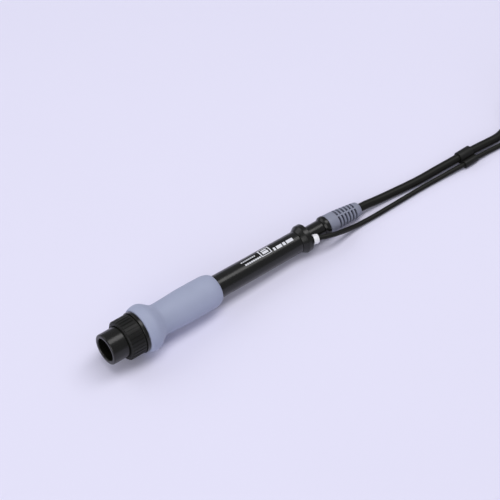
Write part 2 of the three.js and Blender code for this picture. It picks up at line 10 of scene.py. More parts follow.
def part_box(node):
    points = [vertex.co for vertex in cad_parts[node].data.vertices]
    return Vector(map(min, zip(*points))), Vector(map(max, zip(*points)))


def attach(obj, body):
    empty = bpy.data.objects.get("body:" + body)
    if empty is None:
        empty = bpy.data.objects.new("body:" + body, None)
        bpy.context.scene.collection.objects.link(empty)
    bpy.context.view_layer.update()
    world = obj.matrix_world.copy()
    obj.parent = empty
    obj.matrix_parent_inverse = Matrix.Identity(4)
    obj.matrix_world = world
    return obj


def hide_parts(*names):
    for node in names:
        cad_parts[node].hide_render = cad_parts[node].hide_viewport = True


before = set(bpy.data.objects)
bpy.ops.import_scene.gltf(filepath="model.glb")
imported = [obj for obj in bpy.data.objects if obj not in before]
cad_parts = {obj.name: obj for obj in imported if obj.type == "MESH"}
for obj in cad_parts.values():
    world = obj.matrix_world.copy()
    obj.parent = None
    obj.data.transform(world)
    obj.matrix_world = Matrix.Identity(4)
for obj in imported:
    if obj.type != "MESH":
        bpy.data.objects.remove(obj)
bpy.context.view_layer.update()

bl_info = {
    "name": "Soldering Handpiece",
    "version": (1, 0, 0),
    "blender": (4, 5, 0),
    "location": "3D View > Sidebar > Handpiece",
    "description": "Models and finishes a gas-assisted soldering handpiece",
    "category": "Object",
}

MM = 0.001
NOSE_TO_FLARE = 28.2      # the handle rests on the flare of its grip and on its rear flange
FLANGE_FACE = 140.8
FLARE_R = 14.03
FLANGE_R = 8.5
TILT = math.atan((FLARE_R - FLANGE_R) / (FLANGE_FACE - NOSE_TO_FLARE))
NOSE_HEIGHT = NOSE_TO_FLARE * math.sin(TILT) + FLARE_R * math.cos(TILT)
PLUG_X, PLUG_Y, PLUG_Z = 446.0, 4.0, 9.5
MIDDLE = PLUG_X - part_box("plug_boot")[0].x / MM   # from the nose face back to the frame's origin

# Along the handle, in millimetres behind the nose face.
TO_HANDLE = (Matrix.Translation((-MIDDLE * MM, 0, NOSE_HEIGHT * MM))
             @ Matrix.Rotation(TILT, 4, "Y") @ Matrix.Scale(MM, 4))
TO_ROOM = Matrix.Translation((-MIDDLE * MM, 0, 0)) @ Matrix.Scale(MM, 4)
FITTING_FACE = 141.0
FITTING_OFFSET = 6.3                # from the handle's axis
FITTING_ROLL = math.radians(66)     # from the top, towards the side
FITTING_SPLAY = math.radians(15)    # how far it leans outwards
TO_FITTING = (TO_HANDLE
              @ Matrix.Translation((FITTING_FACE, -FITTING_OFFSET * math.sin(FITTING_ROLL),
                                    FITTING_OFFSET * math.cos(FITTING_ROLL)))
              @ Matrix.Rotation(-FITTING_SPLAY, 4, "Z"))
TO_PLUG = TO_ROOM @ Matrix.Translation((PLUG_X, PLUG_Y, PLUG_Z))
HOSE_END_X = 349.3
HANK_Y = -5.4
RELIEF_START, RELIEF_END = 156.6, 181.4
RELIEF_FALL = 1.36                  # how far its rear end hangs below the handle's axis
SPINE_ROLL = math.radians(19.0)     # of the unslotted strips along the strain relief
STEPS_PER_FLUTE = 12
TO_HOSE_END = (TO_ROOM @ Matrix.Translation((HOSE_END_X, HANK_Y, 4.0))
               @ Matrix.Rotation(math.pi, 4, "Z"))


# ---------------------------------------------------------------- mesh tools

def piece(name, bm, place, body, stands_for, material, sharp=32.0, swell=0.0):
    """Turns a bmesh into a finished piece: placed in its mesh, smooth, riding on its body."""
    bmesh.ops.transform(bm, matrix=place, verts=bm.verts[:])
    mesh = bpy.data.meshes.new(name)
    bm.to_mesh(mesh)
    bm.free()
    for polygon in mesh.polygons:
        polygon.use_smooth = True
    mesh.set_sharp_from_angle(angle=math.radians(sharp))
    made = bpy.data.objects.new(name, mesh)
    bpy.context.scene.collection.objects.link(made)
    mesh.materials.append(material)
    if swell:
        edge = made.modifiers.new("edges", "BEVEL")
        edge.width = swell * MM
        edge.segments = 2
        edge.limit_method = "ANGLE"
        edge.angle_limit = math.radians(40)
    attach(made, body)
    if stands_for:
        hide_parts(*stands_for)
    return made


def outline(corners):
    """A flat face in the XZ plane from (along, radius, rounding) corners, with its corners rounded."""
    bm = bmesh.new()
    verts = [bm.verts.new((along, 0.0, radius)) for along, radius, _ in corners]
    bm.faces.new(verts)
    for size in sorted({c[2] for c in corners if c[2] > 0}):
        chosen = [v for v, c in zip(verts, corners) if c[2] == size]
        bmesh.ops.bevel(bm, geom=chosen, offset=size, offset_type="OFFSET", segments=5,
                        profile=0.5, affect="VERTICES", material=-1, clamp_overlap=True)
    return bm


def turned(corners, steps=96):
    """An outline spun about the X axis into a closed piece."""
    bm = outline(corners)
    bmesh.ops.delete(bm, geom=bm.faces[:], context="FACES_ONLY")
    axis_edges = [e for e in bm.edges if all(abs(v.co.z) < 1e-6 for v in e.verts)]
    bmesh.ops.delete(bm, geom=axis_edges, context="EDGES")
    bmesh.ops.spin(bm, geom=bm.verts[:] + bm.edges[:], cent=(0, 0, 0), axis=(1, 0, 0),
                   dvec=(0, 0, 0), angle=2 * math.pi, steps=steps, use_merge=True)
    bmesh.ops.remove_doubles(bm, verts=bm.verts[:], dist=1e-4)
    bmesh.ops.recalc_face_normals(bm, faces=bm.faces[:])
    return bm


def flute(bm, count, radius, depth, start, end, width, fade):
    """Presses lengthwise flutes into a turned piece where it is at its full radius."""
    for v in bm.verts:
        reach = math.hypot(v.co.y, v.co.z)
        if reach < radius - 0.02 or not start - 1e-4 <= v.co.x <= end + 1e-4:
            continue
        turn = (math.atan2(v.co.y, v.co.z) * count / (2 * math.pi)) % 1.0
        across = min(turn, 1 - turn) / (width / 2)
        ends = min(1.0, (v.co.x - start) / fade, (end - v.co.x) / fade)
        press = depth * max(0.0, min(1.0, (1.15 - across) / 0.3)) * max(0.0, ends)
        scale = (reach - press) / reach
        v.co.y *= scale
        v.co.z *= scale
    return bm


def combined(one, other, operation):
    """The solid that is left when one bmesh is added to another or taken out of it."""
    made = []
    for name, bm in (("solid", one), ("tool", other)):
        mesh = bpy.data.meshes.new(name)
        bm.to_mesh(mesh)
        bm.free()
        made.append(bpy.data.objects.new(name, mesh))
        bpy.context.scene.collection.objects.link(made[-1])
    solid, tool = made
    boolean = solid.modifiers.new("combined", "BOOLEAN")
    boolean.object = tool
    boolean.operation = operation
    boolean.solver = "EXACT"
    bpy.context.view_layer.update()
    result = bmesh.new()
    result.from_object(solid, bpy.context.evaluated_depsgraph_get())
    for old in made:
        mesh = old.data
        bpy.data.objects.remove(old)
        bpy.data.meshes.remove(mesh)
    bmesh.ops.remove_doubles(result, verts=result.verts[:], dist=1e-4)
    return result


def cut_away(target, cutter):
    """Takes one bmesh solid out of another."""
    return combined(target, cutter, "DIFFERENCE")


def joined(one, other):
    """Adds one bmesh solid to another."""
    return combined(one, other, "UNION")


def arc_points(centre, radius, start, turn, count):
    """Points on a level arc, without its first one."""
    return [(centre[0] + radius * math.cos(math.radians(start + turn * i / count)),
             centre[1] + radius * math.sin(math.radians(start + turn * i / count)))
            for i in range(1, count + 1)]


# ---------------------------------------------------------------- shader tools

class Wire:
    """One socket of a material's nodes. Arithmetic on it adds Math nodes."""

    def __init__(self, paint, socket):
        self.paint = paint
        self.socket = socket

    def maths(self, operation, *others):
        return self.paint.node("ShaderNodeMath", {"operation": operation},
                               {i: v for i, v in enumerate(others)}).out(0)

    def __add__(self, other):
        return self.maths("ADD", self, other)

    __radd__ = __add__

    def __sub__(self, other):
        return self.maths("SUBTRACT", self, other)

    def __rsub__(self, other):
        return self.maths("SUBTRACT", other, self)

    def __mul__(self, other):
        return self.maths("MULTIPLY", self, other)

    __rmul__ = __mul__

    def __gt__(self, other):
        return self.maths("GREATER_THAN", self, other)


class Node:
    """One node, with its outputs as wires."""

    def __init__(self, paint, made):
        self.paint = paint
        self.made = made

    def out(self, key):
        return Wire(self.paint, self.made.outputs[key])


class Paint:
    """A material under construction."""

    def __init__(self, name):
        self.material = bpy.data.materials.new(name)
        self.material.use_nodes = True
        self.tree = self.material.node_tree
        self.shader = self.tree.nodes["Principled BSDF"]
        self.coords = self.node("ShaderNodeTexCoord", {}, {}).out("Object")

    def node(self, kind, settings, inputs):
        made = self.tree.nodes.new(kind)
        for key, value in settings.items():
            setattr(made, key, value)
        for key, value in inputs.items():
            self.plug(made.inputs[key], value)
        return Node(self, made)

    def plug(self, socket, value):
        if isinstance(value, Wire):
            self.tree.links.new(value.socket, socket)
        else:
            socket.default_value = value

    def set(self, **values):
        names = {"colour": "Base Color", "rough": "Roughness", "metal": "Metallic",
                 "normal": "Normal", "sheen": "Sheen Weight",
                 "sheen_rough": "Sheen Roughness", "level": "Specular IOR Level"}
        for key, value in values.items():
            self.plug(self.shader.inputs[names[key]], value)

    def stretched(self, scale):
        return self.node("ShaderNodeMapping", {}, {"Vector": self.coords, "Scale": scale}).out(0)

    def noise(self, size_mm, detail=2.0, roughness=0.5, at=None):
        """Fractal noise whose lumps are about that many millimetres across."""
        return self.node("ShaderNodeTexNoise", {}, {
            "Vector": at or self.coords, "Scale": 1000.0 / size_mm, "Detail": detail,
            "Roughness": roughness}).out("Fac")

    def mix(self, mask, one, other):
        made = self.node("ShaderNodeMix", {"data_type": "RGBA"}, {"Factor": mask})
        for index, value in ((6, one), (7, other)):
            self.plug(made.made.inputs[index],
                      value if isinstance(value, Wire) else (*value[:3], 1.0))
        return made.out(2)

    def bump(self, height, strength, depth_mm):
        return self.node("ShaderNodeBump", {}, {
            "Height": height, "Strength": strength, "Distance": depth_mm * MM}).out("Normal")


def shade(colour, factor):
    return tuple(min(1.0, c * factor) for c in colour[:3])


def glossy_moulding(name, colour, rough=0.25):
    """Polished moulded plastic: faint flow marks, a little dust haze and hairline rubs."""
    paint = Paint(name)
    flow = paint.noise(9.0, 3.0, at=paint.stretched((0.35, 1.0, 1.0)))
    fine = paint.noise(0.35, 2.0)
    rubs = paint.noise(0.5, 3.0, 0.7, at=paint.stretched((0.06, 1.0, 1.0)))
    haze = paint.noise(3.5, 4.0, 0.6)
    paint.set(colour=paint.mix(flow, shade(colour, 0.82), shade(colour, 1.2)),
              rough=rough + (haze - 0.5) * 0.12 + (rubs > 0.66) * 0.08,
              level=0.38,
              normal=paint.bump(fine * 0.7 + flow * 0.3, 0.22, 0.02))
    return paint.material


def satin_moulding(name, colour, rough=0.48, grain_mm=0.28):
    """Spark-eroded plastic: a fine even grain that breaks up the highlights."""
    paint = Paint(name)
    grain = paint.noise(grain_mm, 2.0, 0.6)
    broad = paint.noise(7.0, 3.0)
    rubs = paint.noise(0.8, 3.0, 0.7, at=paint.stretched((0.1, 1.0, 1.0)))
    paint.set(colour=paint.mix(broad, shade(colour, 0.84), shade(colour, 1.22)),
              rough=rough + (broad - 0.5) * 0.12 - (rubs > 0.68) * 0.08,
              level=0.25,
              normal=paint.bump(grain, 0.45, 0.04))
    return paint.material


def soft_rubber(name, colour, rough=0.62, grain_mm=0.22):
    """Soft-touch rubber: matt, finely pitted, with handled patches that are a little smoother."""
    paint = Paint(name)
    grain = paint.noise(grain_mm, 3.0, 0.65)
    pores = paint.node("ShaderNodeTexVoronoi", {}, {
        "Vector": paint.coords, "Scale": 1000.0 / 0.55}).out("Distance")
    broad = paint.noise(14.0, 3.0)
    handled = paint.noise(22.0, 2.0)
    speck = paint.noise(0.9, 2.0) > 0.69
    tone = paint.mix(broad, shade(colour, 0.93), shade(colour, 1.07))
    tone = paint.mix(speck * 0.15, tone, shade(colour, 0.8))
    paint.set(colour=tone,
              rough=rough + (handled - 0.5) * 0.14 + (grain - 0.5) * 0.08,
              level=0.4, sheen=0.12, sheen_rough=0.4,
              normal=paint.bump(grain * 0.6 + pores * 0.4, 0.35, 0.05))
    return paint.material


def cord_rubber(name, colour, rough=0.45):
    """Drawn cord jacket: long faint die lines, matt dust and the odd scuff."""
    paint = Paint(name)
    along = paint.noise(0.9, 3.0, 0.6, at=paint.stretched((0.12, 1.0, 1.0)))
    grain = paint.noise(0.3, 2.0)
    dust = paint.noise(4.0, 4.0, 0.65)
    scuff = paint.noise(2.2, 3.0, 0.7) > 0.68
    tone = paint.mix(dust, shade(colour, 0.8), shade(colour, 1.35))
    tone = paint.mix(scuff * 0.5, tone, shade(colour, 1.9))
    paint.set(colour=tone,
              rough=rough + (dust - 0.5) * 0.2 + scuff * 0.08,
              level=0.2,
              normal=paint.bump(along * 0.6 + grain * 0.4, 0.3, 0.05))
    return paint.material


def plated_metal(name, colour, rough=0.26, lines=0.16):
    """Turned and plated metal: fine tool lines round it, faint tarnish and fingerprints."""
    paint = Paint(name)
    tool = paint.noise(0.16, 2.0, at=paint.stretched((1.0, 0.12, 0.12)))
    tarnish = paint.noise(3.0, 4.0, 0.6)
    paint.set(colour=paint.mix(tarnish, shade(colour, 0.82), shade(colour, 1.08)),
              metal=1.0,
              rough=rough + (tool - 0.5) * lines + (tarnish - 0.5) * 0.12,
              normal=paint.bump(tool, 0.18, 0.02))
    return paint.material


def woven_strap(name, colour):
    """Hook-and-loop strap: short looped pile over a ribbed tape."""
    paint = Paint(name)
    ribs = paint.node("ShaderNodeTexWave", {"wave_type": "BANDS", "bands_direction": "X"}, {
        "Vector": paint.coords, "Scale": 330.0, "Distortion": 1.2, "Detail": 2.0}).out("Fac")
    pile = paint.noise(0.25, 3.0, 0.7)
    paint.set(colour=paint.mix(pile, shade(colour, 0.6), shade(colour, 1.6)),
              rough=0.8 + (pile - 0.5) * 0.1, level=0.3, sheen=0.3, sheen_rough=0.5,
              normal=paint.bump(ribs * 0.5 + pile * 0.5, 0.9, 0.25))
    return paint.material


def lacquered_board(name, colour):
    """Circuit board: green lacquer with tinned pads and copper runs under it."""
    paint = Paint(name)
    runs = paint.node("ShaderNodeTexBrick", {"offset": 0.5}, {
        "Vector": paint.coords, "Scale": 420.0, "Mortar Size": 0.05}).out("Fac")
    cloth = paint.noise(0.4, 2.0)
    tone = paint.mix(cloth, shade(colour, 0.85), shade(colour, 1.15))
    paint.set(colour=paint.mix(runs * 0.6, tone, shade(colour, 1.9)),
              rough=0.35 + (cloth - 0.5) * 0.1, level=0.5,
              normal=paint.bump(runs, 0.3, 0.05))
    return paint.material


def printing_ink(name, colour):
    """Pad-printed ink: thin, slightly uneven, worn in pinholes."""
    paint = Paint(name)
    cover = paint.noise(0.3, 3.0, 0.7)
    paint.set(colour=paint.mix((cover > 0.66) * 0.55, colour, shade(colour, 0.35)),
              rough=0.5 + (cover - 0.5) * 0.2, level=0.4,
              normal=paint.bump(cover, 0.2, 0.02))
    return paint.material


def table_top(name, colour):
    """Seamless studio surface: even, with the faintest mottle."""
    paint = Paint(name)
    mottle = paint.noise(120.0, 3.0)
    tooth = paint.noise(1.2, 3.0)
    paint.set(colour=paint.mix(mottle, shade(colour, 0.99), shade(colour, 1.01)),
              rough=0.78, level=0.25, normal=paint.bump(tooth, 0.05, 0.05))
    return paint.material


FINISHES = {}


def ready(kind, name, *values):
    """A finish by name, made the first time it is asked for."""
    if name not in FINISHES:
        FINISHES[name] = kind(name, *values)
    return FINISHES[name]


def ink_black():
    return ready(glossy_moulding, "polished_black", settings().black)


def grip_grey():
    return ready(soft_rubber, "grip_rubber", settings().grip_colour)


def relief_grey():
    return ready(soft_rubber, "relief_rubber", settings().relief_colour, 0.55)


def satin_black():
    return ready(satin_moulding, "satin_black", settings().satin)


def cord_black():
    return ready(cord_rubber, "cord_jacket", settings().cord_colour)


def nickel():
    return ready(plated_metal, "nickel_plate", (0.62, 0.63, 0.64), 0.34, 0.1)


def brass():
    return ready(plated_metal, "turned_brass", (0.72, 0.5, 0.2), 0.3)


def insulator():
    return ready(satin_moulding, "cream_insulator", (0.62, 0.56, 0.44), 0.5)


# ---------------------------------------------------------------- sizes and colours

def length(name, value, description):
    return bpy.props.FloatProperty(name=name, default=value, min=0.0, precision=3,
                                   description=description + ", in millimetres")


def colour(name, value, description):
    return bpy.props.FloatVectorProperty(name=name, default=value, size=3, subtype="COLOR",
                                         min=0.0, max=1.0, description=description)


class HandpieceSettings(bpy.types.PropertyGroup):
    flute_count: bpy.props.IntProperty(
        name="Flutes", default=32, min=8, max=60, description="Flutes round the lock ring")
    flute_depth: length("Flute depth", 0.42, "How deep the lock ring's flutes are")
    ring_radius: length("Lock ring radius", 11.85, "Radius over the flutes")
    flare_radius: length("Flare radius", FLARE_R, "Radius of the grip at its flare")
    grip_radius: length("Grip radius", 10.1, "Radius of the grip where it is held")
    cable_radius: length("Cable radius", 2.6, "Radius of the cable")
    hose_radius: length("Hose radius", 1.5, "Radius of the gas hose")
    black: colour("Gloss black", (0.0062, 0.0064, 0.0046), "Nose tube, barrel and rear flange")
    satin: colour("Satin black", (0.0078, 0.008, 0.0066), "Lock ring and clip")
    grip_colour: colour("Grip", (0.342, 0.376, 0.498), "Soft grip")
    relief_colour: colour("Strain relief", (0.235, 0.25, 0.315), "Strain relief")
    cord_colour: colour("Cords", (0.0072, 0.0074, 0.0054), "Cable and hose")
    ink: colour("Print", (0.72, 0.73, 0.76), "Marks printed on the barrel")
    ring_white: colour("Release ring", (0.82, 0.82, 0.85), "Release ring of the gas fitting")
    surface: colour("Surface", (0.78, 0.765, 0.905), "Surface that the handpiece lies on")


def settings():
    return bpy.context.scene.handpiece


# ---------------------------------------------------------------- stage

class HANDPIECE_OT_stage(bpy.types.Operator):
    """Sets the camera, the lights and the pale surface"""
    bl_idname = "handpiece.stage"
    bl_label = "Stage"

    def execute(self, context):
        sizes = context.scene.handpiece
        turn, rise = math.radians(-38.29), math.radians(49.56)
        back = Vector((math.sin(turn) * math.cos(rise), -math.cos(turn) * math.cos(rise),
                       math.sin(rise)))
        lens = bpy.data.cameras.new("camera")
        lens.lens = 140.0
        lens.sensor_width = 36.0
        lens.clip_start, lens.clip_end = 0.05, 20.0
        camera = bpy.data.objects.new("camera", lens)
        camera.location = TO_ROOM @ Vector((-337.61, -554.98, 856.03))
        camera.rotation_mode = "QUATERNION"
        camera.rotation_quaternion = (-back).to_track_quat("-Z", "Y")
        bpy.context.scene.collection.objects.link(camera)
        bpy.context.scene.camera = camera

        bm = bmesh.new()
        bmesh.ops.create_grid(bm, x_segments=1, y_segments=1, size=6.0)
        mesh = bpy.data.meshes.new("surface")
        bm.to_mesh(mesh)
        bm.free()
        surface = bpy.data.objects.new("surface", mesh)
        bpy.context.scene.collection.objects.link(surface)
        mesh.materials.append(table_top("table_top", tuple(sizes.surface)))

        self.softbox("overhead", (0.30, -0.06, 1.3), (1.7, 0.62), 11.2, (1.0, 0.99, 1.0))
        self.softbox("back", (-0.75, 1.15, 1.0), (1.3, 1.1), 5.5, (0.97, 0.98, 1.0))
        self.softbox("front", (-1.35, -0.75, 0.85), (1.1, 1.1), 7.4, (1.0, 1.0, 1.0))
        self.softbox("low", (-1.3, -0.35, 0.28), (0.7, 0.3), 0.9, (1.0, 1.0, 1.0))

        world = bpy.data.worlds.new("room")
        bpy.context.scene.world = world
        world.use_nodes = True
        room = world.node_tree.nodes["Background"]
        room.inputs["Color"].default_value = (0.86, 0.87, 1.0, 1.0)
        room.inputs["Strength"].default_value = 0.36
        bpy.context.scene.view_settings.view_transform = "Standard"
        return {"FINISHED"}

    def softbox(self, name, at, size, power, tint):
        """An area light facing the middle, its long side level and along the handpiece."""
        data = bpy.data.lights.new(name, "AREA")
        data.shape = "RECTANGLE"
        data.size, data.size_y = size
        data.energy = power
        data.color = tint
        light = bpy.data.objects.new(name, data)
        light.location = at
        away = Vector(at).normalized()
        along = (Vector((1, 0, 0)) - away * away.x).normalized()
        light.rotation_mode = "QUATERNION"
        facing = Matrix((along, away.cross(along), away)).transposed()
        light.rotation_quaternion = facing.to_quaternion()
        bpy.context.scene.collection.objects.link(light)


# ---------------------------------------------------------------- cords

CABLE_RUN = [
    (187.5, 0, 4.3), (194, -0.3, 3.3), (201, -0.9, 2.8), (209, -1.7, 2.65), (218, -2.7, 2.6),
    (228, -3.5, 2.6), (238, -3.9, 2.8), (248, -4.6, 3.3), (256, -5.1, 3.6), (264, -5.5, 3.6),
    (273, -5.9, 3.2), (280, -6.3, 2.8), (287, -6.52, 2.74), (294, -4.98, 2.86),
    (301, -1.83, 2.98), (308, 2.2, 3.11), (315, 6.15, 3.23), (323, 9.4, 3.4),
]
HOSE_RUN = [
    (149.8, -8.5, 10.5), (152.6, -9.15, 10.1), (155.4, -9.5, 9.4), (158.2, -9.5, 8.4),
    (161.3, -9.2, 7.1), (164.6, -8.8, 5.7), (167.8, -8.4, 4.4), (171, -8.1, 3.3),
    (174.4, -7.9, 2.4), (178.5, -7.8, 1.8), (184, -8, 1.58), (191, -8.2, 1.58),
    (200, -8.3, 1.58), (210, -8.4, 1.58), (220, -8.5, 1.58), (230, -8.8, 1.58),
    (240, -9.4, 1.8), (248, -10, 2.2), (256, -10.6, 2.4), (264, -10.9, 2.4), (273, -11.2, 2),
    (281, -11.6, 1.6), (288, -12, 1.58), (294, -11.25, 1.64), (300, -9.14, 1.78),
    (306, -6.01, 1.92), (311, -3, 2.04), (316, 0.01, 2.16), (320.5, 2.44, 2.26), (327, 5.0, 2.4),
]
CABLE_TAIL = [
    (405, 10.4, 24.4), (411, 10.4, 24.3), (416, 10.03, 23.46), (421, 9.02, 21.13),
    (426, 7.59, 17.84), (431, 6.07, 14.34), (436, 4.8, 11.45), (441, 4.09, 9.7),
    (445.5, 4, 9.5), (452, 4, 9.5),
]
HOSE_TAIL = [
    (388, -13.4, 13.4), (382, -12.7, 12.3), (376, -11, 10.4), (370, -8.8, 8.2),
    (363.5, -6.7, 6.1), (357, -5.6, 4.7), (352.5, -5.4, 4.1), (349.6, -5.4, 4), (343.5, -5.4, 4),
]
CABLE_START = (139.2, 146, 152, 158, 164, 170, 176, 181.4)      # along the handle
HOSE_START = (-1.5, 1.5, 4.5)                                   # along the fitting
HANK_NEAR, HANK_FAR = 333.0, 398.0
HANK_FLOOR = 0.9
HANK_TURNS = 4                      # whole turns, under a last open one
CABLE_BEND, HOSE_BEND = 15.8, 11.4  # their radii at the hank's ends
HOSE_LEAVES = 394.5                 # where the hose comes out of its last turn


def hank(bend, radius, turns, leave_at=None):
    """The tied turns of one cord: down the far side, round, back, and up a layer each time."""
    path = []
    pitch = 2 * radius
    floor = HANK_FLOOR + radius

    def level(layer, climb):
        return floor + pitch * (layer + climb)

    for layer in range(turns + 1):
        path += [(HANK_NEAR + (HANK_FAR - HANK_NEAR) * i / 4, HANK_Y + bend, level(layer, 0))
                 for i in range(5)]
        if layer == turns and leave_at is None:
            break
        path += [(x, y, level(layer, 0)) for x, y in
                 arc_points((HANK_FAR, HANK_Y), bend, 90, -180, 8)]
        if layer == turns:
            path.append((leave_at, HANK_Y - bend, level(layer, 0)))
            break
        for i in range(1, 5):
            path.append((HANK_FAR + (HANK_NEAR - HANK_FAR) * i / 4, HANK_Y - bend,
                         level(layer, 0.6 * i / 4)))
        for i, (x, y) in enumerate(arc_points((HANK_NEAR, HANK_Y), bend, -90, -180, 8)):
            path.append((x, y, level(layer, min(1.0, 0.6 + 0.4 * (i + 1) / 3))))
        path.pop()
    return path


def on_axis(along, fall):
    """A point that far along the handle, and that far below its axis."""
    return tuple(TO_HANDLE @ Vector((along, 0, -fall)))


def relief_fall(along):
    """How far the strain relief and the cable in it hang below the axis there."""
    share = min(max((along - RELIEF_START) / (RELIEF_END - RELIEF_START), 0.0), 1.0)
    return RELIEF_FALL * share * share


def strand(name, points, radius, sides):
    """One smooth curve through the points, as thick as the cord."""
    data = bpy.data.curves.new(name, "CURVE")
    data.dimensions = "3D"
    data.bevel_depth = radius * MM
    data.bevel_resolution = sides
    data.resolution_u = 6
    data.use_fill_caps = True
    line = data.splines.new("BEZIER")
    line.bezier_points.add(len(points) - 1)
    for i, (knot, point) in enumerate(zip(line.bezier_points, points)):
        at = Vector(point)
        before = Vector(points[max(i - 1, 0)])
        after = Vector(points[min(i + 1, len(points) - 1)])
        way = (after - before).normalized()
        knot.co = at
        knot.handle_left_type = knot.handle_right_type = "FREE"
        knot.handle_left = at - way * ((at - before).length or (after - at).length) / 3
        knot.handle_right = at + way * ((after - at).length or (at - before).length) / 3
    made = bpy.data.objects.new(name, data)
    bpy.context.scene.collection.objects.link(made)
    data.materials.append(cord_black())
    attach(made, "handle")
    return made


class HANDPIECE_OT_cords(bpy.types.Operator):
    """Lays the cable and the gas hose, with their tied hank"""
    bl_idname = "handpiece.cords"
    bl_label = "Cable and hose"

    def execute(self, context):
        sizes = context.scene.handpiece
        room = [tuple(TO_ROOM @ Vector(p)) for p in
                CABLE_RUN + hank(CABLE_BEND, sizes.cable_radius, HANK_TURNS) + CABLE_TAIL]
        start = [on_axis(along, relief_fall(along)) for along in CABLE_START]
        cable = strand("supply_cable", start + room, sizes.cable_radius, 5)
        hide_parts("cable", "cable_hank", "cable_tail")

        fitting = [tuple(TO_FITTING @ Vector((d, 0, 0))) for d in HOSE_START]
        room = [tuple(TO_ROOM @ Vector(p)) for p in
                HOSE_RUN + hank(HOSE_BEND, sizes.hose_radius, HANK_TURNS, HOSE_LEAVES)
                + HOSE_TAIL]
        hose = strand("gas_hose", fitting + room, sizes.hose_radius, 4)
        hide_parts("hose", "hose_hank", "hose_tail")
        return {"FINISHED"}


# ---------------------------------------------------------------- front end

class HANDPIECE_OT_nose(bpy.types.Operator):
    """Models the nose tube and its seal"""
    bl_idname = "handpiece.nose"
    bl_label = "Nose tube"

    def execute(self, context):
        tube = turned([
            (0.0, 7.25, 0.0), (0.0, 9.2, 0.85), (12.5, 9.2, 0.1), (12.5, 10.4, 0.15),
            (14.2, 10.4, 0.15), (14.2, 8.3, 0.1), (17.0, 8.3, 0.1), (17.0, 7.6, 0.15),
            (18.5, 7.6, 0.15), (18.5, 8.3, 0.1), (24.0, 8.3, 0.4), (24.0, 6.8, 0.3),
            (0.45, 6.8, 0.2)], 128)
        piece("nose_tube", tube, TO_HANDLE, "nose", ["nose_sleeve"], ink_black())
        seal = turned([(17.33, 7.63, 0.4), (17.33, 8.47, 0.4), (18.17, 8.47, 0.4),
                       (18.17, 7.63, 0.4)], 96)
        piece("seal_ring", seal, TO_HANDLE, "nose", ["front_seal"], cord_black())
        return {"FINISHED"}


class HANDPIECE_OT_lock_ring(bpy.types.Operator):
    """Models the fluted lock ring"""
    bl_idname = "handpiece.lock_ring"
    bl_label = "Lock ring"

    def execute(self, context):
        sizes = context.scene.handpiece
        outer = sizes.ring_radius
        rows = [(11.1 + 0.35 * i, outer, 0.0) for i in range(25)]
        ring = turned([
            (10.3, 9.55, 0.15), (10.3, 10.9, 0.06), (10.7, 11.3, 0.0), (11.0, 11.65, 0.0),
            *rows, (20.0, outer - 0.2, 0.0), (20.0, 10.85, 0.15), (12.25, 10.85, 0.1),
            (12.25, 9.55, 0.1)], sizes.flute_count * STEPS_PER_FLUTE)
        flute(ring, sizes.flute_count, 11.2, sizes.flute_depth, 10.5, 19.6, 0.42, 0.3)
        piece("fluted_ring", ring, TO_HANDLE, "lock_ring_body", ["lock_ring"],
              satin_black(), 50.0)
        return {"FINISHED"}


# ---------------------------------------------------------------- handle

SLIM_START, SLIM_LENGTH = 75.5, 59.0      # the barrel behind the grip, which tapers
SLIM_RADIUS, SLIM_TAPER = 6.9, 0.3
INK_THICKNESS = 0.03


def dashes(bm, rows):
    """Plain printed blocks bent round the slim barrel: (from, to, low angle, high angle)."""
    for start, end, low, high in rows:
        made = bmesh.ops.create_grid(bm, x_segments=2, y_segments=4, size=0.5)["verts"]
        for v in made:
            along = start + (end - start) * (v.co.x + 0.5)
            angle = math.radians(low + (high - low) * (v.co.y + 0.5))
            reach = SLIM_RADIUS - SLIM_TAPER * (along - SLIM_START) / SLIM_LENGTH + INK_THICKNESS
            v.co = (along, -reach * math.sin(angle), reach * math.cos(angle))


